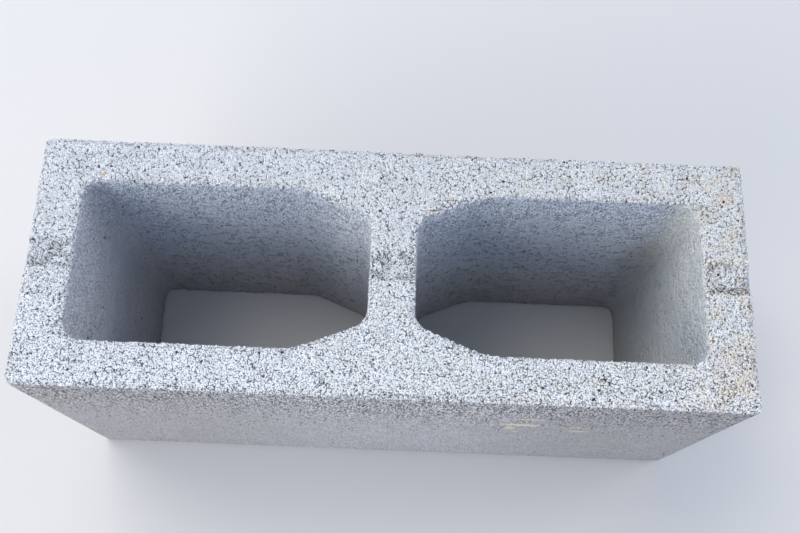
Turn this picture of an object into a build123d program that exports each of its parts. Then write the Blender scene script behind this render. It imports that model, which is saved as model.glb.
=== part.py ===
from build123d import *

import os
from math import atan2, degrees, hypot, radians, tan

# Hollow concrete block with two cores, cast in one piece.
# X runs along the block, Y across the wall it builds and Z up, in millimetres.
# The origin is the middle of the bed that the block stands on.

# Overall size: a 400 x 200 wall module less one mortar joint of 10
block_length = 390.0
block_width = 140.0
block_height = 190.0

# Concrete left round the wide mouths of the cores, just under the top bed's bevel
end_web = 25.0
centre_web = 25.0
face_shell = 25.0
centre_web_shift = 2.0

# Draft: what each wall gains between the mouth and the foot of a core
end_web_draft = 5.5
centre_web_draft = 5.0
face_shell_draft = 3.5

# Corners of the cores: plain at the ends of the block, haunched at the centre web
core_mouth_radius = 10.0
core_foot_radius = 6.0
haunch_length = 38.0
haunch_depth = 15.5
haunch_web_radius = 11.0
haunch_shell_radius = 35.0
# Largest share of a straight side that the rounding of one of its corners may take
corner_share = 0.45

# Worn edges: the four upright ones rounded, and the arrises of both beds bevelled
upright_edge_radius = 3.0
arris_bevel = 1.0

# Shallow groove that the bar over the mould leaves across the top of every web
bar_mark_width = 15.0
bar_mark_depth = 1.2
bar_mark_shift = 2.5


def corner_radius(wanted, turn, *sides):
    """The wanted radius, or the largest that these two sides leave room for where they turn."""
    room = corner_share * min(sides)
    return min(wanted, room / tan(radians(turn) / 2))


def core_outline(web_shift, draft, end_radius):
    """Plan of the +X core where its walls have gained this share of their draft."""
    web_face = web_shift + centre_web / 2 + draft * centre_web_draft
    end_face = block_length / 2 - end_web - draft * end_web_draft
    shell_face = block_width / 2 - face_shell - draft * face_shell_draft
    haunch_root = shell_face - haunch_depth
    haunch_end = web_face + haunch_length

    haunch_turn = degrees(atan2(haunch_depth, haunch_length))
    haunch_side = hypot(haunch_depth, haunch_length)
    shell_side = end_face - haunch_end
    end_rounding = corner_radius(end_radius, 90, shell_side, 2 * shell_face)
    shell_rounding = corner_radius(haunch_shell_radius, haunch_turn, haunch_side, shell_side)
    web_rounding = corner_radius(haunch_web_radius, 90 - haunch_turn, haunch_side, 2 * haunch_root)

    with BuildSketch() as outline:
        with BuildLine():
            Polyline(
                (web_face, -haunch_root),
                (haunch_end, -shell_face),
                (end_face, -shell_face),
                (end_face, shell_face),
                (haunch_end, shell_face),
                (web_face, haunch_root),
                close=True,
            )
        make_face()
        fillet(outline.vertices().group_by(Axis.X)[-1], end_rounding)
        fillet(outline.vertices().group_by(Axis.X)[1], shell_rounding)
        fillet(outline.vertices().group_by(Axis.X)[0], web_rounding)
    return outline.sketch


def core(web_shift):
    """The +X core: drafted from mouth to foot, and bevelled where it meets both beds."""
    foot = core_outline(web_shift, 1, core_foot_radius)
    mouth = core_outline(web_shift, 0, core_mouth_radius)
    levels = [
        offset(foot, arris_bevel, kind=Kind.INTERSECTION),
        Pos(0, 0, arris_bevel) * foot,
        Pos(0, 0, block_height - arris_bevel) * mouth,
        Pos(0, 0, block_height) * offset(mouth, arris_bevel, kind=Kind.INTERSECTION),
    ]
    return loft(levels, ruled=True)


def concrete_block():
    """The whole block: a solid with drafted cores, worn edges and the bar's mark."""
    outside = Box(block_length, block_width, block_height, align=(Align.CENTER, Align.CENTER, Align.MIN))
    outside = fillet(outside.edges().filter_by(Axis.Z), upright_edge_radius)
    outside = chamfer(outside.faces().filter_by(Axis.Z).edges(), arris_bevel)
    right_core = core(centre_web_shift)
    left_core = mirror(core(-centre_web_shift), about=Plane.YZ)
    bar_mark = Box(
        block_length,
        bar_mark_width,
        bar_mark_depth,
        align=(Align.CENTER, Align.CENTER, Align.MAX),
    )
    return outside - right_core - left_core - Pos(0, bar_mark_shift, block_height) * bar_mark


os.makedirs("parts", exist_ok=True)
block = concrete_block()
block.label = "concrete_block"
export_step(block, "parts/concrete_block.step")
print("concrete_block", round(block.volume), "mm3")
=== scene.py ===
import math
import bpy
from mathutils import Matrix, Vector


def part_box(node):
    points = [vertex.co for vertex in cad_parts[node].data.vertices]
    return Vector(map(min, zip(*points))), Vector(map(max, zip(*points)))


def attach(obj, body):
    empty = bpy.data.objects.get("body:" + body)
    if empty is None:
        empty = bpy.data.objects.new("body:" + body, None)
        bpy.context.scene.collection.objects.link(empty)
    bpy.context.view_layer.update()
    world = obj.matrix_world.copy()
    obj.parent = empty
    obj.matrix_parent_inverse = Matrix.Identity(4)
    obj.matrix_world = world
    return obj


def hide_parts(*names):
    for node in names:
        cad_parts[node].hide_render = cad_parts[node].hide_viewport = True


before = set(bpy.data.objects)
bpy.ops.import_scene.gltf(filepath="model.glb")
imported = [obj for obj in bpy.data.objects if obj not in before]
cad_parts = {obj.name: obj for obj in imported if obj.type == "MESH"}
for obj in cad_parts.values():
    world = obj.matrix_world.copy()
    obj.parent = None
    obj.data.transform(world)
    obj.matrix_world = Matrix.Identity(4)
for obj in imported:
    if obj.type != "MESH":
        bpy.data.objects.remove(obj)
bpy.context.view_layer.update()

from types import SimpleNamespace
from typing import NamedTuple

import bmesh
import bpy
from mathutils import Euler, Matrix, Quaternion, Vector, kdtree

bl_info = {
    "name": "Hollow concrete block",
    "version": (1, 0, 0),
    "blender": (4, 5, 0),
    "location": "3D View > Sidebar > Concrete block",
    "description": "A cast hollow block with open-textured beds and pitted faces, on a pale studio floor",
    "category": "Object",
}

# X runs along the block, Y across the wall it builds and Z up. Meshes and the stage are in metres,
# and patterns, reliefs and the tables of marks in millimetres.
MM = 0.001
NODE = "concrete_block"
SKIN = "cast_block"
BAKE_MAP = "OFBake"
BLOCK_LOW, BLOCK_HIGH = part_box(NODE)
BLOCK_MIDDLE = (BLOCK_LOW + BLOCK_HIGH) / 2
LENGTH, WIDTH, HEIGHT = (BLOCK_HIGH - BLOCK_LOW) / MM
TOP = BLOCK_HIGH.z / MM
HALF = (0.5, 0.5, 0.5)
WHITE = (1.0, 1.0, 1.0, 1.0)


class ReliefSizes(bpy.types.PropertyGroup):
    """Sizes of the cast skin's relief, in millimetres."""

    wall_step: bpy.props.FloatProperty(
        name="Wall step",
        description="Side of the small squares that the skin is rebuilt from",
        default=1.6,
        min=0.5,
    )
    bed_cuts: bpy.props.IntProperty(
        name="Bed cuts",
        description="Cuts that make those squares smaller on the top bed and its arrises",
        default=2,
    )
    most_triangles: bpy.props.IntProperty(
        name="Most triangles",
        description="Triangles that the finished skin may have",
        default=198000,
    )
    lump_height: bpy.props.FloatProperty(
        name="Lump height",
        description="How far the aggregate of the bed stands above its joints",
        default=0.5,
    )
    pore_depth: bpy.props.FloatProperty(
        name="Pore depth",
        description="Depth of the bed's open pores",
        default=1.2,
    )
    bed_sink: bpy.props.FloatProperty(
        name="Bed sink",
        description="How far the bed lies below its grains' mean height",
        default=0.4,
    )
    pit_depth: bpy.props.FloatProperty(
        name="Pit depth",
        description="Depth of the pits in the walls",
        default=0.5,
    )
    tear_depth: bpy.props.FloatProperty(
        name="Tear depth",
        description="Depth of the hollows torn in the walls of the cores",
        default=0.35,
    )
    crumb_depth: bpy.props.FloatProperty(
        name="Crumb depth",
        description="Depth of the chips along the arrises",
        default=1.2,
    )


class GrainSizes(bpy.types.PropertyGroup):
    """Sizes of the sand grains that stand on the open bed, in millimetres."""

    spacing: bpy.props.FloatProperty(
        name="Spacing",
        description="Least distance between the middles of two grains",
        default=0.68,
    )
    smallest: bpy.props.FloatProperty(
        name="Smallest",
        description="Radius of the smallest grain",
        default=0.24,
    )
    largest: bpy.props.FloatProperty(
        name="Largest",
        description="Radius of the largest grain",
        default=0.54,
    )
    sink: bpy.props.FloatProperty(
        name="Sink",
        description="How far the middle of a grain lies under the paste",
        default=0.10,
    )


class ConcreteColours(bpy.types.PropertyGroup):
    """Colours of the dry concrete and its marks."""

    paste: bpy.props.FloatVectorProperty(
        name="Paste",
        description="Cement skin of the moulded faces",
        subtype="COLOR",
        default=(0.575, 0.57, 0.58),
    )
    grain: bpy.props.FloatVectorProperty(
        name="Grain",
        description="Coated grains of the top bed",
        subtype="COLOR",
        default=(0.985, 0.985, 0.97),
    )
    # Painted light: a bluish tint that stands in for skylight on the upper rear walls of the cores
    painted_skylight: bpy.props.FloatVectorProperty(
        name="Cool",
        description="What tints the smooth skin inside the cores",
        subtype="COLOR",
        default=(1.02, 1.10, 1.17),
    )
    sallow: bpy.props.FloatVectorProperty(
        name="Sallow",
        description="What tints the slick end wall of one core",
        subtype="COLOR",
        default=(0.98, 1.00, 0.94),
    )
    blush: bpy.props.FloatVectorProperty(
        name="Blush",
        description="Faint tan that the grains take towards one end, and the scuffs of the walls",
        subtype="COLOR",
        default=(1.0, 0.87, 0.65),
    )
    # Painted shade: a dark tone laid towards both ends of the front face and in a rear corner of a core
    painted_shade: bpy.props.FloatVectorProperty(
        name="Grime",
        description="Thin dirt on the walls",
        subtype="COLOR",
        default=(0.36, 0.33, 0.31),
    )
    # Painted shade: a near-black colour laid in the pores, pits, fine flecks and thin joints, standing in for
    # the shade in those hollows
    gap: bpy.props.FloatVectorProperty(
        name="Gap",
        description="Pores, pits, and joints between the grains",
        subtype="COLOR",
        default=(0.05, 0.055, 0.065),
    )
    clay: bpy.props.FloatVectorProperty(
        name="Clay",
        description="Tan and orange stains",
        subtype="COLOR",
        default=(0.92, 0.70, 0.48),
    )


class StageSizes(bpy.types.PropertyGroup):
    """Camera, floor and light."""

    lens: bpy.props.FloatProperty(
        name="Lens",
        description="Focal length on a 36 mm frame",
        default=42.034,
    )
    camera_place: bpy.props.FloatVectorProperty(
        name="Camera place",
        description="Where the camera stands",
        subtype="TRANSLATION",
        default=(0.003027, -0.161833, 0.663323),
    )
    camera_target: bpy.props.FloatVectorProperty(
        name="Camera target",
        description="Point of the top bed in mid-picture",
        subtype="TRANSLATION",
        default=(0.005735, 0.001689, 0.190),
    )
    camera_roll: bpy.props.FloatProperty(
        name="Camera roll",
        description="Turn of the camera about its own line of sight",
        subtype="ANGLE",
        default=math.radians(-3.238),
    )
    sky: bpy.props.FloatVectorProperty(
        name="Sky",
        description="Colour of the even light from all round",
        subtype="COLOR",
        default=(0.50, 0.75, 1.25),
    )
    sky_strength: bpy.props.FloatProperty(
        name="Sky strength",
        description="Strength of the even light from all round",
        default=0.45,
    )
    lamp_reach: bpy.props.FloatProperty(
        name="Lamp reach",
        description="How far the lamps stand from the block",
        subtype="DISTANCE",
        default=2.2,
    )
    floor_radius: bpy.props.FloatProperty(
        name="Floor radius",
        description="Radius of the round floor",
        subtype="DISTANCE",
        default=2.8,
    )
    floor_seen: bpy.props.FloatVectorProperty(
        name="Floor seen",
        description="Colour of the floor as seen",
        subtype="COLOR",
        default=(0.79, 0.75, 0.69),
    )
    floor_bounce: bpy.props.FloatVectorProperty(
        name="Floor bounce",
        description="Colour of the light that the floor gives back to the block",
        subtype="COLOR",
        default=(0.33, 0.28, 0.22),
    )
    air_seen: bpy.props.FloatVectorProperty(
        name="Air seen",
        description="Colour behind the floor as seen",
        subtype="COLOR",
        default=(0.62, 0.66, 0.72),
    )


# Name, way round and height above the floor in degrees, side of the square in metres, power in watts, colour
LAMPS = (
    ("soft front left", 227, 20, 2.0, 36.5, (1.0, 0.96, 0.89)),
    ("soft rear left", 135, 60, 1.6, 30.5, (1.0, 0.97, 0.93)),
    ("soft right", 12, 15, 1.6, 22.0, (1.0, 0.98, 0.96)),
)

# Tan stains of the top bed: middle and reach along and across the block, and strength
BED_STAINS = (
    ((184.0, -48.0), (17.0, 20.0), 0.24),
    ((187.0, -41.0), (4.5, 4.0), 0.32),
    ((180.0, -59.0), (5.5, 4.0), 0.26),
    ((185.0, 49.0), (6.0, 6.5), 0.42),
    ((165.0, -66.0), (16.0, 5.0), 0.16),
    ((190.0, -11.0), (4.0, 3.0), 0.36),
    ((188.5, 3.5), (2.2, 1.8), 0.85),
    ((5.5, 8.8), (2.4, 2.0), 0.32),
    ((22.0, 34.6), (2.4, 2.0), 0.32),
    ((73.0, 57.0), (2.4, 1.6), 0.50),
    ((-160.0, 49.0), (2.6, 1.6), 0.70),
)
# Small hollows of the bed where paste has come away: middle and reach along and across the block
BED_HOLLOWS = (
    ((114.0, -55.5), (2.4, 0.9)),
    ((111.0, -61.0), (1.2, 1.1)),
    ((116.5, -57.5), (0.9, 1.8)),
    ((108.0, -66.0), (1.4, 0.8)),
)
# Straw-coloured scuffs of the walls: middle and reach in all three directions, and strength
WALL_SCUFFS = (
    ((79.0, -70.0, 127.0), (15.0, 4.0, 5.0), 0.75),
    ((82.0, -70.0, 146.0), (10.0, 4.0, 4.0), 0.55),
    ((74.0, -70.0, 116.0), (4.5, 4.0, 6.0), 0.65),
    ((79.0, -70.0, 103.0), (2.5, 4.0, 4.0), 0.50),
    ((51.0, -70.0, 162.0), (5.0, 4.0, 4.0), 0.60),
    ((114.0, -70.0, 113.0), (8.0, 4.0, 4.0), 0.40),
    ((112.0, -70.0, 124.0), (9.0, 4.0, 4.0), 0.35),
)
# Painted shade of the walls, towards both ends of the front face and in the rear right corner of a core, in
# the same way
WALL_PAINTED_SHADE = (
    ((-205.0, -70.0, 95.0), (190.0, 4.0, 260.0), 0.30),
    ((215.0, -70.0, 95.0), (190.0, 4.0, 260.0), 0.34),
    ((160.0, 42.0, 105.0), (22.0, 9.0, 45.0), 0.40),
)
# Where the lip of a core is torn most: middle and reach
TORN_LIP = ((34.0, 38.0, 187.0), (26.0, 12.0, 12.0))

# Half-way through a face shell and through an end wall, measured from the block's middle
SHELL_MIDDLE = 57.0
END_MIDDLE = 183.0
# How far to each side of that the outer faces' finish fades into that of the cores
SIDE_FADE = 3.0

# The square sheet for baking: its side, the space between two walls, the height of a row of walls,
# the width that an end of a core takes up, and where along the block a core's two ends part
SHEET = 812.0
SHEET_GAP = 4.0
ROW = HEIGHT + SHEET_GAP
CORE_COLUMN = 94.0
CORE_MIDDLE = 100.0
# The sheet of a quarter's grains: the share for what is seen from above, the rest being for their undersides,
# and how much of the block's length and width it spans
GRAIN_TOPS = 0.8
GRAIN_SPAN = (0.51, 0.52)

# Quarters of the bed, and on which side they are along and across the block
QUARTERS = (
    ("front_left", -1, -1),
    ("front_right", 1, -1),
    ("rear_left", -1, 1),
    ("rear_right", 1, 1),
)


class Spots(NamedTuple):
    """Round spots in random cells.

    The shares are of the cells that have a spot, at a level of 0 and of 1.
    """

    apart: float
    radius: float
    shares: tuple


class Patches(NamedTuple):
    """Soft patches of noise.

    The edge is the noise where they start and are whole, and the worth their value off them and on them.
    The growth is what a level of 1 adds to the noise.
    """

    size: float
    detail: float = 1.0
    edge: tuple = None
    worth: tuple = None
    growth: float = 0.0


# How a spot's cell is stretched, from the smallest spot to the largest, and the soft edge of a spot
SPOT_STRETCH = (1.35, 0.75)
SPOT_EDGE = (1.3, 0.7)
# Where a rounded top has its foot and its crown, measured from the middle of its cell
DOME_EDGE = (0.8, 0.0)

# The mark that the bar over the mould leaves: its middle across the block, its edge, and how it is torn
BAR_MARK_MIDDLE = 2.5
BAR_MARK_EDGE = (9.5, 6.5)
BAR_MARK_TEARS = Patches(size=9.0, detail=3.0, edge=(0.42, 0.60))

# Openings of the bed: the first share of pores is that of the plain bed, the second that of the bar's mark
SMALL_PORES = Spots(apart=1.4, radius=0.28, shares=(0.12, 0.70))
LARGE_PORES = Spots(apart=6.8, radius=0.6, shares=(0.14, 0.80))
CRACKED_AREAS = Patches(size=13.0, edge=(0.46, 0.66))
CRACK_PIECES = Patches(size=2.4, edge=(0.57, 0.61), growth=0.12)
CRACK_SPACING = 3.0
CRACK_WIDTH = 0.26

# Colour of the bed: broad drift, fine flecks, patches of tan, the paste's own grain, and the thin joints
BED_DRIFT = Patches(size=14.0, detail=2.0, worth=(0.90, 1.10))
BED_FLECKS = Patches(size=0.45, edge=(0.32, 0.68), worth=(0.78, 1.16))
TAN_PATCHES = Patches(size=9.0, detail=2.0, edge=(0.42, 0.64), worth=(0.30, 1.0))
PASTE_GRAIN = Patches(size=0.6, worth=(0.64, 1.08))
JOINT_PIECES = Patches(size=1.1, edge=(0.50, 0.56), growth=0.10)
JOINT_SPACING = 1.15
JOINT_WIDTH = 0.21

# Pits, flecks and torn hollows of the walls, and the depths below the top bed that their two shares belong to
PITS = Spots(apart=2.6, radius=0.42, shares=(0.45, 0.06))
PIT_DEPTHS = (5.0, 100.0)
LARGE_TEARS = Spots(apart=4.4, radius=1.25, shares=(0.90, 0.60))
LARGE_TEAR_DEPTHS = (20.0, 170.0)
SMALL_TEARS = Spots(apart=2.4, radius=0.7, shares=(0.7, 0.3))
SMALL_TEAR_DEPTHS = (5.0, 110.0)
FLECKS = Spots(apart=1.25, radius=0.40, shares=(0.03, 0.62))
FLECK_DEPTHS = (120.0, 0.0)

# Colour of the walls: drawn sand, soft mottle, and the fine grain of their bumps
WALL_SAND = Patches(size=0.6, edge=(0.3, 0.7), worth=(-0.5, 0.5))
WALL_MOTTLE = Patches(size=11.0, detail=2.0, worth=(0.90, 1.10))
WALL_GRAIN = Patches(size=1.6, edge=(0.3, 0.7))

# How much longer upwards the mould has drawn each of these, and the scaling that makes the tears wider
PITS_DRAWN = 2.2
FLECKS_DRAWN = 2.6
SAND_DRAWN = 4.0
TEARS_WIDENED = (0.82, 0.82, 1.0)

# Share of their depth that the tears have on the outer faces
TEARS_OUTSIDE = 0.3
# Bumps of the walls in millimetres: of their grain, far down and near the top bed, and of tears and pits
GRAIN_BUMPS = (0.12, 0.50)
TEAR_BUMP = -1.55
PIT_BUMP = -0.6

# Chips of the arrises: how far they reach from an arris and from a bed, and how deep the broad ones
# and those of the torn lip are, compared with the fine ones
FINE_CHIPS = Patches(size=2.0, detail=2.0, edge=(0.58, 0.36))
BROAD_CHIPS = Patches(size=9.0, edge=(0.40, 0.28))
CHIP_REACH = (3.0, 0.5)
CHIP_MARGIN = (9.0, 4.0)
BROAD_DEPTH = 1.2
LIP_DEPTH = 2.4

# What counts as open bed: the depths where that starts and is whole, and the same for how level the skin is
BED_DEPTHS = (3.0, 1.6)
BED_LEVEL = (0.35, 0.85)
# The skin is broken open as well near the arris, within a reach that noise makes ragged and down to a depth,
# and where a chip is deep enough and near enough to the bed
LIP_RAGGED = Patches(size=2.0)
LIP_SHIFT = 3.0
LIP_REACH = (3.0, 2.2)
LIP_DEPTHS = (5.0, 3.0)
CHIP_OPEN = (-0.2, -0.5)
CHIP_DEPTHS = (20.0, 15.0)

# Shades below which a grain is dark or dull, and how light it is then
DARK_SHADES, DARK_LIGHT = (0.03, 0.05), 0.15
DULL_SHADES, DULL_LIGHT = (0.2, 0.3), 0.82
# The power that makes most grains small, their least and greatest stretch, and how densely they are drawn
# before those that stand too close are taken out
GRAIN_POWER = 2.0
GRAIN_STRETCH = ((0.7, 0.7, 0.7), (1.25, 1.25, 1.25))
GRAIN_CROWD = 1.6

# Seeds of the grains' places, shades, sizes, turns and shapes
SCATTER_SEED, SHADE_SEED, SIZE_SEED, TURN_SEED, STRETCH_SEED = range(3, 8)


class Net:
    """Adds nodes to one tree and links them; a number or colour in place of a socket is typed in."""

    def __init__(self, tree, dimensions="3D"):
        self.tree = tree
        self.dimensions = dimensions

    def put(self, socket, value):
        if isinstance(value, bpy.types.NodeSocket):
            self.tree.links.new(value, socket)
        else:
            socket.default_value = value

    def add(self, kind, values=(), **settings):
        node = self.tree.nodes.new(kind)
        for name, setting in settings.items():
            setattr(node, name, setting)
        for key, value in dict(values).items():
            if value is not None:
                self.put(node.inputs[key], value)
        return node

    def math(self, operation, a, b=None, c=None):
        return self.add("ShaderNodeMath", {0: a, 1: b, 2: c}, operation=operation).outputs[0]

    def fold(self, operation, values):
        result = values[0]
        for value in values[1:]:
            result = self.math(operation, result, value)
        return result

    def total(self, *values):
        return self.fold("ADD", values)

    def product(self, *values):
        return self.fold("MULTIPLY", values)

    def most(self, *values):
        return self.fold("MAXIMUM", values)

    def fade(self, value, start, end):
        """0 at start and 1 at end, smooth between, whichever of the two is larger."""
        node = self.add("ShaderNodeMapRange", {0: value, 1: start, 2: end}, interpolation_type="SMOOTHSTEP")
        return node.outputs[0]

    def range(self, value, low, high):
        """A value from 0 to 1 spread from low to high."""
        return self.add("ShaderNodeMapRange", {0: value, 3: low, 4: high}).outputs[0]

    def vector(self, operation, a, b=None, factor=None):
        values = {0: a, 1: b, "Scale": factor}
        return self.add("ShaderNodeVectorMath", values, operation=operation).outputs[0]

    def parts(self, vector):
        return self.add("ShaderNodeSeparateXYZ", {0: vector}).outputs

    def off_middle(self, place):
        """How far a place is from the block's middle, along it and across it."""
        return [self.math("ABSOLUTE", part) for part in self.parts(place)[:2]]

    def flattened(self, place):
        """The place without its height."""
        return self.vector("MULTIPLY", place, (1.0, 1.0, 0.0))

    def drawn(self, place, stretch):
        """The place with patterns on it this much longer upwards, as stripping the mould draws them."""
        return self.vector("MULTIPLY", place, (1.0, 1.0, 1 / stretch))

    def noise(self, place, size, detail=1.0):
        """Soft noise about 0.5, with patches about this many millimetres across."""
        values = {"Vector": place, "Scale": 1 / size, "Detail": detail}
        return self.add("ShaderNodeTexNoise", values, noise_dimensions=self.dimensions).outputs[0]

    def patches(self, place, pattern, level=None):
        """Soft patches as their pattern says, more of them where the level is higher."""
        value = self.noise(place, pattern.size, pattern.detail)
        if level is not None:
            value = self.math("MULTIPLY_ADD", level, pattern.growth, value)
        if pattern.edge:
            value = self.fade(value, *pattern.edge)
        if pattern.worth:
            value = self.range(value, *pattern.worth)
        return value

    def drift(self, place, size, amount):
        """A random shift of up to about this many millimetres each way, alike over about this size."""
        values = {"Vector": place, "Scale": 1 / size, "Detail": 1.0}
        noise = self.add("ShaderNodeTexNoise", values, noise_dimensions=self.dimensions).outputs[1]
        return self.vector("SCALE", self.vector("SUBTRACT", noise, HALF), factor=2 * amount)

    def wobbled(self, place, size, amount):
        return self.vector("ADD", place, self.drift(place, size, amount))

    def cells(self, place, apart, feature="F1"):
        """Random cells about this many millimetres apart: distance and colour."""
        values = {"Vector": place, "Scale": 1 / apart}
        settings = {"feature": feature, "voronoi_dimensions": self.dimensions}
        return self.add("ShaderNodeTexVoronoi", values, **settings).outputs

    def domes(self, place, apart):
        """A rounded top in each of such cells, 1 in its middle and 0 at its foot."""
        return self.fade(self.cells(place, apart)[0], *DOME_EDGE)

    def spots(self, place, pattern, level):
        """Round spots of uneven size as their pattern says, for a level from 0 to 1."""
        distance, tag = self.cells(place, pattern.apart)[:2]
        chance, size = self.parts(tag)[:2]
        small, large = (stretch * pattern.apart / pattern.radius for stretch in SPOT_STRETCH)
        reach = self.product(distance, self.range(size, small, large))
        chosen = self.math("LESS_THAN", chance, self.range(level, *pattern.shares))
        return self.product(self.fade(reach, *SPOT_EDGE), chosen)

    def cracks(self, place, apart, width):
        """Thin joints between cells this far apart, dark over the inner third of their width."""
        edge = self.cells(place, apart, "DISTANCE_TO_EDGE")[0]
        return self.fade(edge, width / apart, 0.3 * width / apart)

    def oval(self, place, middle, reach, whole=0.45):
        """0 outside an oval and 1 within this share of it, soft between."""
        ratio = self.vector("DIVIDE", self.vector("SUBTRACT", place, middle), reach)
        away = self.add("ShaderNodeVectorMath", {0: ratio}, operation="LENGTH").outputs[1]
        return self.fade(away, 1.0, whole)

    def random(self, low, high, seed):
        """A random number or vector for each point."""
        if isinstance(low, tuple):
            values, kind, out = {0: low, 1: high, "Seed": seed}, "FLOAT_VECTOR", 0
        else:
            values, kind, out = {2: low, 3: high, "Seed": seed}, "FLOAT", 1
        return self.add("FunctionNodeRandomValue", values, data_type=kind).outputs[out]

    def blend(self, share, a, b):
        """A number that goes from a to b."""
        return self.add("ShaderNodeMix", {0: share, 2: a, 3: b}).outputs[0]

    def mix(self, share, a, b):
        """A colour that goes from a to b."""
        return self.add("ShaderNodeMix", {0: share, 6: a, 7: b}, data_type="RGBA").outputs[2]

    def stored(self, geometry, name, value, kind="FLOAT", domain="POINT"):
        """The geometry with a value kept on it under this name."""
        values = {"Geometry": geometry, "Name": name, "Value": value}
        settings = {"data_type": kind, "domain": domain}
        return self.add("GeometryNodeStoreNamedAttribute", values, **settings).outputs[0]

    def moved(self, geometry, offset):
        return self.add("GeometryNodeSetPosition", {"Geometry": geometry, "Offset": offset}).outputs[0]


def colour(value):
    """A property's colour with the alpha that a socket wants."""
    return (*value, 1.0)


def new_object(name, data):
    thing = bpy.data.objects.new(name, data)
    bpy.context.scene.collection.objects.link(thing)
    return thing


def mesh_from(shape, name):
    """A new mesh of a bmesh, which is freed."""
    mesh = bpy.data.meshes.new(name)
    shape.to_mesh(mesh)
    shape.free()
    return mesh


def baked(thing):
    """Replaces an object's mesh by its modifiers' result and takes the modifiers off."""
    graph = bpy.context.evaluated_depsgraph_get()
    mesh = bpy.data.meshes.new_from_object(thing.evaluated_get(graph))
    old = thing.data
    thing.modifiers.clear()
    thing.data = mesh
    bpy.data.meshes.remove(old)
    mesh.name = thing.name


def welded_copy(node_name):
    """A joined-up copy of a CAD node's loose triangles, as a bmesh."""
    mesh = bmesh.new()
    mesh.from_mesh(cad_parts[node_name].data)
    bmesh.ops.remove_doubles(mesh, verts=mesh.verts, dist=0.001 * MM)
    return mesh


def arris_points(mesh, step=0.6 * MM, sharp=math.radians(30)):
    points = []
    for edge in mesh.edges:
        if edge.calc_face_angle(0.0) < sharp:
            continue
        a, b = (v.co for v in edge.verts)
        count = max(1, round((b - a).length / step))
        points += [a.lerp(b, i / count) for i in range(count)]
    tree = kdtree.KDTree(len(points))
    for index, point in enumerate(points):
        tree.insert(point, index)
    tree.balance()
    return tree


def store_arris_distance(mesh, tree, reach=8 * MM):
    """Writes how far each point of the skin is from a sharp edge, in millimetres, up to the reach."""
    low, high = BLOCK_LOW.z + reach, BLOCK_HIGH.z - reach
    found = []
    for vertex in mesh.vertices:
        if low < vertex.co.z < high:
            found.append(reach / MM)
        else:
            found.append(min(tree.find(vertex.co)[2], reach) / MM)
    mesh.attributes.new("arris", "FLOAT", "POINT").data.foreach_set("value", found)


def refine_bed(mesh, cuts, depth=5 * MM):
    """Cuts the skin's squares smaller on the top bed and just under it."""
    shape = bmesh.new()
    shape.from_mesh(mesh)
    level = BLOCK_HIGH.z - depth
    edges = [e for e in shape.edges if all(v.co.z > level for v in e.verts)]
    bmesh.ops.subdivide_edges(shape, edges=edges, cuts=cuts, use_grid_fill=True)
    shape.to_mesh(mesh)
    shape.free()


def lay_out(mesh):
    """Lays the walls out on the sheet for baking: each face goes where the wall of its first corner lies."""
    points = [vertex.co / MM for vertex in mesh.vertices]
    facings = mesh.attributes["facing"].data
    walls = [wall_spot(point, facing.vector) for point, facing in zip(points, facings)]
    corners = []
    for face in mesh.polygons:
        across, up, left, low = walls[face.vertices[0]]
        for index in face.vertices:
            corners += ((points[index][across] + left) / SHEET, (points[index][up] + low) / SHEET)
    mesh.uv_layers.new(name=BAKE_MAP).data.foreach_set("uv", corners)


def wall_spot(point, facing):
    """The axes along which a wall is seen, and its left and lower margins on the sheet, in millimetres."""
    sideways, along, upwards = (abs(part) for part in facing)
    if upwards > max(sideways, along):
        return 0, 1, LENGTH / 2 + (facing.z < 0) * SHEET / 2, WIDTH / 2 + 3 * ROW
    if along >= sideways:
        return 0, 2, LENGTH / 2 + (point.y > 0) * SHEET / 2, (abs(point.y) < SHELL_MIDDLE) * ROW
    if abs(point.x) > END_MIDDLE:
        return 1, 2, WIDTH / 2 + (point.x > 0) * (WIDTH + SHEET_GAP + 4 * CORE_COLUMN), 2 * ROW
    side = sum(point.x > limit for limit in (-CORE_MIDDLE, 0.0, CORE_MIDDLE))
    return 1, 2, WIDTH + (side + 0.5) * CORE_COLUMN + SHEET_GAP / 2, 2 * ROW


def bar_mark(net, place, least):
    """The strip across each web where the bar has torn the bed: 1 at its tears and this much between them."""
    y = net.parts(net.wobbled(place, size=5.0, amount=2.5))[1]
    strip = net.fade(net.math("ABSOLUTE", net.math("SUBTRACT", y, BAR_MARK_MIDDLE)), *BAR_MARK_EDGE)
    return net.product(strip, net.range(net.patches(place, BAR_MARK_TEARS), least, 1.0))


def bed_openings(net, place):
    """Where the bed is open: pores of two sizes, hollows, and short cracks, most on the bar's marks."""
    loose = net.wobbled(place, size=0.9, amount=0.5)
    torn = bar_mark(net, place, least=0.2)
    small = net.spots(loose, SMALL_PORES, torn)
    large = net.spots(loose, LARGE_PORES, torn)
    cracked = net.most(net.patches(place, CRACKED_AREAS), torn)
    pieces = net.patches(place, CRACK_PIECES, cracked)
    cracks = net.product(net.cracks(loose, CRACK_SPACING, CRACK_WIDTH), pieces)
    flat = net.flattened(net.wobbled(place, size=2.0, amount=1.2))
    hollows = (net.oval(flat, (x, y, 0.0), (a, b, 1.0)) for (x, y), (a, b) in BED_HOLLOWS)
    return net.most(small, large, cracks, *hollows)


def in_cores(net, place):
    """1 on the walls of the cores and 0 on the outer faces."""
    along, across = net.off_middle(place)
    in_length = net.fade(along, END_MIDDLE + SIDE_FADE, END_MIDDLE - SIDE_FADE)
    in_width = net.fade(across, SHELL_MIDDLE + SIDE_FADE, SHELL_MIDDLE - SIDE_FADE)
    return net.product(in_length, in_width)


def wall_pits(net, place, depth):
    """Small pits of a moulded face, more of them near the top bed, 0 to 1."""
    loose = net.drawn(net.wobbled(place, size=1.4, amount=0.9), PITS_DRAWN)
    return net.spots(loose, PITS, net.fade(depth, *PIT_DEPTHS))


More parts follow.
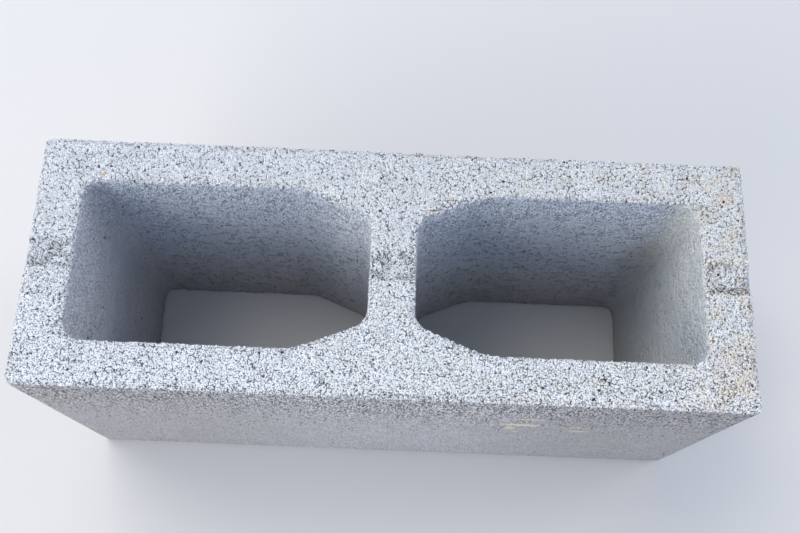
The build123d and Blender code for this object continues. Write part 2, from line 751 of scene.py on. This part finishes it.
def wall_tears(net, place, depth):
    """Ragged hollows of a moulded face, wider than high, where stripping has torn paste away, 0 to 1."""
    loose = net.vector("MULTIPLY", net.wobbled(place, size=2.6, amount=1.6), TEARS_WIDENED)
    large = net.spots(loose, LARGE_TEARS, net.fade(depth, *LARGE_TEAR_DEPTHS))
    small = net.spots(net.vector("ADD", loose, HALF), SMALL_TEARS, net.fade(depth, *SMALL_TEAR_DEPTHS))
    return net.most(large, small)


def stained_and_shaded(net, place, tone, stain_and_shade, marks):
    """This colour with another over it wherever a mark is, for stains, scuffs and painted shade; a mark is an
    oval with its strength.
    """
    shares = (net.product(net.oval(place, middle, reach), strength) for middle, reach, strength in marks)
    return net.mix(net.most(*shares), tone, stain_and_shade)


def new_geometry_tree(name):
    """An empty tree of geometry nodes with its net, its incoming skin and the place in millimetres."""
    tree = bpy.data.node_groups.new(name, "GeometryNodeTree")
    for way in ("INPUT", "OUTPUT"):
        tree.interface.new_socket("Geometry", in_out=way, socket_type="NodeSocketGeometry")
    net = Net(tree)
    skin = net.add("NodeGroupInput").outputs[0]
    place = net.vector("SCALE", net.add("GeometryNodeInputPosition").outputs[0], factor=1 / MM)
    return tree, net, skin, place


def waves(net, place, size, height, sink=0.0):
    """A surface that swells and dips by this height in all, about a level that lies this much lower."""
    return net.math("MULTIPLY_ADD", net.noise(place, size), height, -height / 2 - sink)


def standing(net, domes, height):
    """Rounded tops of this height, about the level where as much of them is above as below."""
    return net.math("MULTIPLY_ADD", domes, height, -0.6 * height)


def bed_height(net, place, sizes):
    """Relief of the top bed: lumps of aggregate with grit on them, and the openings."""
    lumps = net.domes(net.wobbled(place, size=2.2, amount=0.5), apart=3.2)
    grit = net.domes(place, apart=1.5)
    return net.total(
        waves(net, place, size=26, height=0.9, sink=sizes.bed_sink),
        standing(net, lumps, sizes.lump_height),
        standing(net, grit, 0.5 * sizes.lump_height),
        net.product(bed_openings(net, place), -sizes.pore_depth),
    )


def wall_height(net, place, depth, sizes):
    """Relief of the moulded faces: tears, most of them in the cores, and pits."""
    cored = net.range(in_cores(net, place), TEARS_OUTSIDE, 1.0)
    return net.total(
        waves(net, place, size=40, height=0.5),
        net.product(wall_tears(net, place, depth), cored, -sizes.tear_depth),
        net.product(wall_pits(net, place, depth), -sizes.pit_depth),
    )


def crumbs(net, place, arris, depth, sizes):
    """Fine and broad chips along the arrises of both beds, deepest at the torn lip; all below 0."""
    from_foot = (HEIGHT - margin for margin in CHIP_MARGIN)
    near_bed = net.most(net.fade(depth, *CHIP_MARGIN), net.fade(depth, *from_foot))
    rim = net.product(net.fade(arris, *CHIP_REACH), near_bed)
    torn = net.range(net.oval(place, *TORN_LIP), 1.0, LIP_DEPTH)
    fine = net.product(net.patches(place, FINE_CHIPS), torn)
    broad = net.product(net.patches(place, BROAD_CHIPS), BROAD_DEPTH)
    return net.product(net.total(fine, broad), rim, -sizes.crumb_depth)


def relief_tree(sizes):
    """Geometry nodes that push the even skin out and in along its normals.

    They keep on it where it is broken open, for the choice of material, and which way it faced.
    """
    tree, net, skin, place = new_geometry_tree("cast relief")
    normal = net.add("GeometryNodeInputNormal").outputs[0]
    arris = net.add("GeometryNodeInputNamedAttribute", {"Name": "arris"}, data_type="FLOAT").outputs[0]
    depth = net.math("SUBTRACT", TOP, net.parts(place)[2])

    level = net.fade(net.parts(normal)[2], *BED_LEVEL)
    bed = net.product(net.fade(depth, *BED_DEPTHS), level)
    walls = wall_height(net, place, depth, sizes)
    height = net.blend(bed, walls, bed_height(Net(tree, "2D"), place, sizes))
    crumble = crumbs(net, place, arris, depth, sizes)
    rise = net.product(net.total(height, crumble), MM)

    ragged = net.math("MULTIPLY_ADD", net.patches(place, LIP_RAGGED), LIP_SHIFT, arris)
    lip = net.product(net.fade(ragged, *LIP_REACH), net.fade(depth, *LIP_DEPTHS))
    chipped = net.product(net.fade(crumble, *CHIP_OPEN), net.fade(depth, *CHIP_DEPTHS))
    skin = net.stored(skin, "broken", net.most(bed, lip, chipped))
    skin = net.stored(skin, "facing", normal, "FLOAT_VECTOR")
    net.add("NodeGroupOutput", {0: net.moved(skin, net.vector("SCALE", normal, factor=rise))})
    return tree


def fresh_net(owner, dimensions="3D"):
    """The net of a material or a world, with none of its first nodes."""
    owner.use_nodes = True
    owner.node_tree.nodes.clear()
    return Net(owner.node_tree, dimensions)


def new_material(name, dimensions="3D"):
    """An empty material with its net and the place on the block in millimetres."""
    material = bpy.data.materials.new(name)
    net = fresh_net(material, dimensions)
    place = net.vector("SCALE", net.add("ShaderNodeTexCoord").outputs["Object"], factor=1 / MM)
    return material, net, place


def finish_stone(net, tone, height):
    """Dry stone of this colour, with bumps of this height in millimetres."""
    bump = net.add("ShaderNodeBump", {"Height": net.product(height, MM), "Strength": 1.0, "Distance": 1.0})
    shader = net.add(
        "ShaderNodeBsdfPrincipled",
        {"Base Color": tone, "Roughness": 0.92, "Normal": bump.outputs[0], "Specular IOR Level": 0.25},
    )
    net.add("ShaderNodeOutputMaterial", {"Surface": shader.outputs[0]})


def bed_tone(net, place, colours, light):
    """The open bed's colour where it is this light, shared by its paste and its grains.

    It has patches of tan that grow towards the right end, stains, and thin joints painted dark as the shade
    between the grains.
    """
    x, y = net.parts(place)[:2]
    rearwards = net.fade(y, -60.0, 60.0)
    rightwards = net.fade(x, -150.0, 150.0)
    right_end = net.fade(x, 130.0, 180.0)
    rough = bar_mark(net, place, least=0.1)
    light = net.product(
        light,
        net.patches(place, BED_DRIFT),
        net.patches(place, BED_FLECKS),
        net.range(rearwards, 1.03, 0.92),
        net.range(rough, 1.0, 0.84),
    )
    bare, tan, clay = (
        net.vector("SCALE", tone, factor=light) for tone in (colours.grain, colours.blush, colours.clay)
    )
    spread = net.total(net.range(rightwards, 0.02, 0.28), net.product(right_end, 0.20))
    tone = net.mix(net.product(net.patches(place, TAN_PATCHES), spread), bare, tan)
    flat = net.flattened(net.wobbled(place, size=4.0, amount=2.0))
    marks = [((x, y, 0.0), (a, b, 1.0), strength) for (x, y), (a, b), strength in BED_STAINS]
    tone = stained_and_shaded(net, flat, tone, clay, marks)
    # Painted shade: thin near-black joints between the grains, more of them on the bar's mark and fewer
    # towards the rear
    joints = net.cracks(net.wobbled(place, size=0.7, amount=0.35), JOINT_SPACING, JOINT_WIDTH)
    pieces = net.patches(place, JOINT_PIECES, rough)
    joints = net.product(joints, net.product(pieces, net.range(rearwards, 1.0, 0.6)))
    return net.mix(joints, tone, colour(colours.gap))


def bed_material(colours):
    """The open top between its grains: pale paste that pores and cracks cut, with painted shade in those
    openings.
    """
    material, net, place = new_material("open_bed", "2D")
    paste = bed_tone(net, place, colours, net.patches(place, PASTE_GRAIN))
    # Painted shade: the pores, cracks and hollows take the near-black gap shade
    tone = net.mix(bed_openings(net, place), paste, colour(colours.gap))
    finish_stone(net, tone, net.product(net.noise(place, size=0.8), 0.5))
    return material


def grain_material(colours):
    """Coated grains, each of its own shade and a few of them dark."""
    material, net, place = new_material("coated_grain", "2D")
    shade = net.add("ShaderNodeAttribute", attribute_name="shade").outputs["Fac"]
    dark = net.range(net.fade(shade, *DARK_SHADES), DARK_LIGHT, 1.0)
    dull = net.range(net.fade(shade, *DULL_SHADES), DULL_LIGHT, 1.0)
    light = net.product(net.product(dark, dull), net.range(shade, 0.84, 1.06))
    tone = bed_tone(net, place, colours, light)
    finish_stone(net, tone, net.product(net.noise(place, size=0.6), 0.2))
    return material


def wall_regions(net, place):
    """The depth below the top bed, and the parts of the walls, each 1 where its name says and 0 elsewhere."""
    x, y, z = net.parts(place)
    sideways = net.math("ABSOLUTE", x)
    depth = net.math("SUBTRACT", TOP, z)
    inside = in_cores(net, place)
    return SimpleNamespace(
        depth=depth,
        inside=inside,
        slick=net.product(inside, net.fade(x, 156.0, 164.0)),
        ends=net.fade(sideways, 150.0, 166.0),
        centre=net.fade(sideways, 45.0, 22.0),
        rear=net.fade(y, -10.0, 40.0),
        front=net.fade(y, -58.0, -66.0),
        upper=net.fade(depth, 85.0, 8.0),
        low=net.fade(depth, 50.0, 190.0),
    )


def wall_tone(net, place, at, tears, colours):
    """The walls' paste: drawn sand and mottle, a little darker in the torn hollows and low in the cores as
    painted shade, lighter inside the cores as painted light, most at the webs and on the slick end, a painted
    bluish skylight on the upper rear walls of the cores, and sallow on the slick end.
    """
    contrast = net.product(
        net.range(at.upper, 0.35, 1.0),
        net.range(at.front, 0.55, 1.0),
        net.range(at.inside, 1.6, 1.3),
        net.range(at.slick, 1.0, 0.6),
    )
    sand = net.patches(net.drawn(place, SAND_DRAWN), WALL_SAND)
    # Painted shade: a little darker in the torn hollows and low in the cores. Painted light: lighter inside
    # the cores, most at the webs and on the slick end.
    light = net.product(
        net.math("MULTIPLY_ADD", sand, contrast, 1.0),
        net.patches(place, WALL_MOTTLE),
        net.range(tears, 1.0, 0.96),
        net.range(at.inside, 1.0, 1.08),
        net.range(net.product(at.inside, at.low), 1.0, 0.90),
        net.range(at.slick, 1.0, 1.12),
        net.range(net.product(at.inside, at.centre), 1.0, 1.2),
    )
    # Painted light: the bluish skylight on the cores' rear walls, fading towards the ends, at the webs and
    # low down
    painted_skylight = net.product(
        at.inside,
        at.rear,
        net.range(at.ends, 1.0, 0.25),
        net.range(at.centre, 1.0, 0.4),
        net.range(at.low, 1.0, 0.1),
    )
    tint = net.mix(at.slick, net.mix(painted_skylight, WHITE, colour(colours.painted_skylight)), colour(colours.sallow))
    return net.vector("MULTIPLY", net.vector("SCALE", colours.paste, factor=light), tint)


def wall_material(colours):
    """A moulded face: paste with torn hollows, pits and flecks that thin out downwards, the pits and flecks
    painted dark as shade, scuffs, and painted shade towards both ends of the front face and in a rear corner
    of a core.
    """
    material, net, place = new_material("moulded_face")
    at = wall_regions(net, place)
    pits = wall_pits(net, place, at.depth)
    tears = net.product(
        wall_tears(net, place, at.depth),
        net.range(at.inside, 0.15, 1.0),
        net.range(at.ends, 1.0, 0.3),
    )
    drawn = net.drawn(net.wobbled(place, size=1.2, amount=0.6), FLECKS_DRAWN)
    flecks = net.product(
        net.spots(drawn, FLECKS, net.fade(at.depth, *FLECK_DEPTHS)),
        net.range(at.front, 0.55, 1.0),
        net.range(at.inside, 1.0, 0.6),
    )
    # Painted shade: pits and flecks take the near-black gap shade, less of it on the slick end
    dark = net.product(net.most(net.product(pits, 0.9), flecks), net.range(at.slick, 1.0, 0.3))

    paste = wall_tone(net, place, at, tears, colours)
    loose = net.wobbled(place, size=2.0, amount=1.5)
    # Painted shade first, then the straw-coloured scuffs
    for tone, marks in ((colours.painted_shade, WALL_PAINTED_SHADE), (colours.blush, WALL_SCUFFS)):
        paste = stained_and_shaded(net, loose, paste, colour(tone), marks)
    height = net.total(
        net.product(net.patches(place, WALL_GRAIN), net.range(at.upper, *GRAIN_BUMPS)),
        net.product(tears, TEAR_BUMP),
        net.product(pits, PIT_BUMP),
    )
    finish_stone(net, net.mix(dark, paste, colour(colours.gap)), height)
    return material


def rebuild(block, step):
    """Rebuilds an object's mesh from even squares of this side."""
    skin = block.modifiers.new("even skin", "REMESH")
    skin.mode = "VOXEL"
    skin.voxel_size = step
    baked(block)


def push_relief(block, sizes):
    """Gives the skin its relief and thins it to the triangles that it may have."""
    relief = block.modifiers.new("cast relief", "NODES")
    relief.node_group = relief_tree(sizes)
    thinned = block.modifiers.new("thinned", "DECIMATE")
    triangles = sum(len(p.vertices) - 2 for p in block.data.polygons)
    thinned.ratio = sizes.most_triangles / triangles
    baked(block)
    block.data.shade_smooth()


def dress(mesh, colours):
    """Gives the walls their material, and the bed's to each face that is broken open by half or more."""
    mesh.materials.clear()
    for material in (wall_material, bed_material):
        mesh.materials.append(material(colours))
    broken = [v.value for v in mesh.attributes["broken"].data]
    for face in mesh.polygons:
        face.material_index = round(sum(broken[v] for v in face.vertices) / len(face.vertices))


class CAST_OT_block(bpy.types.Operator):
    """Cast the block's skin: the solid in even squares, with aggregate, pores, tears, pits and crumbs"""

    bl_idname = "cast.block"
    bl_label = "Cast block"

    def execute(self, context):
        sizes = context.scene.relief_sizes
        solid = welded_copy(NODE)
        arrises = arris_points(solid)
        block = new_object(SKIN, mesh_from(solid, SKIN))
        rebuild(block, sizes.wall_step * MM)
        refine_bed(block.data, sizes.bed_cuts)
        store_arris_distance(block.data, arrises)
        push_relief(block, sizes)
        dress(block.data, context.scene.concrete_colours)
        lay_out(block.data)
        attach(block, "root")
        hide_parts(NODE)
        return {"FINISHED"}


def bed_quarter(skin, side, depth):
    """The open faces of the skin on this side along and across the block, as a mesh of their own."""
    shape = bmesh.new()
    shape.from_mesh(skin)
    lost = []
    for face in shape.faces:
        middle = face.calc_center_median()
        if face.material_index == 0 or middle.x * side < 0 or middle.y * depth < 0:
            lost.append(face)
    bmesh.ops.delete(shape, geom=lost, context="FACES")
    return mesh_from(shape, "bed quarter")


def grain_points(net, skin, sizes):
    """Random points on a skin, each with its shade and sunk a little into the paste.

    So many are drawn that it is the least distance between two that says how many are left.
    """
    spacing = sizes.spacing * MM
    crowd = (GRAIN_CROWD / spacing) ** 2
    values = {"Mesh": skin, "Distance Min": spacing, "Density Max": crowd, "Seed": SCATTER_SEED}
    points = net.add("GeometryNodeDistributePointsOnFaces", values, distribute_method="POISSON").outputs[0]
    points = net.stored(points, "shade", net.random(0.0, 1.0, SHADE_SEED))
    return net.moved(points, (0.0, 0.0, -sizes.sink * MM))


def grain_map(net, place):
    """Where a grain's corner goes on its sheet for baking: seen from above, or on the undersides' strip."""
    under = net.math("LESS_THAN", net.parts(net.add("GeometryNodeInputNormal").outputs[0])[2], 0.0)
    whole_face = {"data_type": "FLOAT", "domain": "FACE"}
    under = net.add("GeometryNodeFieldOnDomain", {"Value": under}, **whole_face).outputs[0]
    spans = zip(net.off_middle(place), (GRAIN_SPAN[0] * LENGTH, GRAIN_SPAN[1] * WIDTH))
    across, along = (net.math("DIVIDE", off, span) for off, span in spans)
    along = net.math("MULTIPLY", along, net.range(under, GRAIN_TOPS, 1 - GRAIN_TOPS))
    along = net.math("MULTIPLY_ADD", under, GRAIN_TOPS, along)
    return net.add("ShaderNodeCombineXYZ", {0: across, 1: along}).outputs[0]


def grain_tree(sizes):
    """Geometry nodes that cover a skin with uneven grains, most of them small, but for its openings."""
    tree, net, skin, place = new_geometry_tree("scattered grains")
    points = grain_points(net, skin, sizes)
    pick = net.math("POWER", net.random(0.0, 1.0, SIZE_SEED), GRAIN_POWER)
    radius = net.range(pick, sizes.smallest * MM, sizes.largest * MM)
    stretch = net.random(*GRAIN_STRETCH, STRETCH_SEED)
    values = {
        "Points": points,
        "Selection": net.math("LESS_THAN", bed_openings(Net(tree, "2D"), place), 0.5),
        "Instance": net.add("GeometryNodeMeshIcoSphere", {"Radius": 1.0, "Subdivisions": 1}).outputs[0],
        "Rotation": net.random((0.0, 0.0, 0.0), (math.tau, math.tau, math.tau), TURN_SEED),
        "Scale": net.vector("SCALE", stretch, factor=radius),
    }
    grains = net.add("GeometryNodeInstanceOnPoints", values).outputs[0]
    grains = net.add("GeometryNodeRealizeInstances", {"Geometry": grains}).outputs[0]
    grains = net.moved(grains, net.drift(place, size=0.9, amount=0.3 * MM))
    grains = net.stored(grains, BAKE_MAP, grain_map(net, place), "FLOAT2", "CORNER")
    net.add("NodeGroupOutput", {0: grains})
    return tree


class CAST_OT_grains(bpy.types.Operator):
    """Scatter the coated grains that stand on the open bed, as one joined mesh for each quarter"""

    bl_idname = "cast.grains"
    bl_label = "Scatter bed grains"

    def execute(self, context):
        skin = bpy.data.objects[SKIN].data
        tree = grain_tree(context.scene.grain_sizes)
        material = grain_material(context.scene.concrete_colours)
        for name, side, depth in QUARTERS:
            grains = new_object("bed_grains_" + name, bed_quarter(skin, side, depth))
            scatter = grains.modifiers.new("scattered grains", "NODES")
            scatter.node_group = tree
            baked(grains)
            grains.data.materials.clear()
            grains.data.materials.append(material)
            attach(grains, "root")
        return {"FINISHED"}


class STUDIO_OT_stage(bpy.types.Operator):
    """Lay a pale floor and set the soft light and the camera"""

    bl_idname = "studio.stage"
    bl_label = "Studio stage"

    def execute(self, context):
        stage = context.scene.stage_sizes
        self.floor(stage)
        self.air(context, stage)
        self.lamps(stage)
        self.camera(context, stage)
        context.scene.view_settings.view_transform = "Standard"
        return {"FINISHED"}

    def floor(self, stage):
        shape = bmesh.new()
        bmesh.ops.create_circle(shape, cap_ends=True, segments=64, radius=stage.floor_radius)
        floor = new_object("floor", mesh_from(shape, "floor"))
        material = bpy.data.materials.new("pale_floor")
        net = fresh_net(material)
        rays = net.add("ShaderNodeLightPath").outputs
        seen = net.most(rays["Is Camera Ray"], rays["Is Glossy Ray"])
        tone = net.mix(seen, colour(stage.floor_bounce), colour(stage.floor_seen))
        shader = net.add("ShaderNodeBsdfDiffuse", {"Color": tone})
        net.add("ShaderNodeOutputMaterial", {"Surface": shader.outputs[0]})
        floor.data.materials.append(material)

    def air(self, context, stage):
        """Even light from all round, and a plain pale colour of its own where the camera sees it."""
        world = bpy.data.worlds.new("studio air")
        net = fresh_net(world)
        seen = net.add("ShaderNodeLightPath").outputs["Is Camera Ray"]
        light = net.vector("SCALE", stage.sky, factor=stage.sky_strength)
        tone = net.mix(seen, light, colour(stage.air_seen))
        air = net.add("ShaderNodeBackground", {"Color": tone, "Strength": 1.0})
        net.add("ShaderNodeOutputWorld", {"Surface": air.outputs[0]})
        context.scene.world = world

    def lamps(self, stage):
        for name, azimuth, elevation, side, power, tint in LAMPS:
            lamp = bpy.data.lights.new(name, "AREA")
            lamp.shape = "SQUARE"
            lamp.size = side
            lamp.energy = power
            lamp.color = tint
            thing = new_object(name, lamp)
            turn = Euler((0, -math.radians(elevation), math.radians(azimuth)))
            way = turn.to_matrix() @ Vector((1, 0, 0))
            thing.location = way * stage.lamp_reach + BLOCK_MIDDLE
            thing.rotation_euler = (-way).to_track_quat("-Z", "Y").to_euler()

    def camera(self, context, stage):
        lens = bpy.data.cameras.new("photo view")
        lens.lens = stage.lens
        lens.sensor_width = 36.0
        lens.clip_start = 0.02
        camera = new_object("photo view", lens)
        place = Vector(stage.camera_place)
        sight = (Vector(stage.camera_target) - place).normalized()
        turn = Quaternion(sight, stage.camera_roll) @ sight.to_track_quat("-Z", "Y")
        camera.matrix_world = Matrix.LocRotScale(place, turn, None)
        context.scene.camera = camera


class CAST_PT_panel(bpy.types.Panel):
    """The steps of the block and its stage, in order"""

    bl_label = "Concrete block"
    bl_idname = "CAST_PT_panel"
    bl_space_type = "VIEW_3D"
    bl_region_type = "UI"
    bl_category = "Concrete block"

    def draw(self, context):
        for step in STEPS:
            self.layout.operator(step.bl_idname)


STEPS = (CAST_OT_block, CAST_OT_grains, STUDIO_OT_stage)
GROUPS = {
    "relief_sizes": ReliefSizes,
    "grain_sizes": GrainSizes,
    "concrete_colours": ConcreteColours,
    "stage_sizes": StageSizes,
}


def register():
    for part in (*GROUPS.values(), *STEPS, CAST_PT_panel):
        bpy.utils.register_class(part)
    for name, group in GROUPS.items():
        setattr(bpy.types.Scene, name, bpy.props.PointerProperty(type=group))


def unregister():
    for name in GROUPS:
        delattr(bpy.types.Scene, name)
    for part in (CAST_PT_panel, *reversed(STEPS), *reversed(GROUPS.values())):
        bpy.utils.unregister_class(part)


def main():
    register()
    bpy.ops.cast.block()
    bpy.ops.cast.grains()
    bpy.ops.studio.stage()


if __name__ == "__main__":
    main()
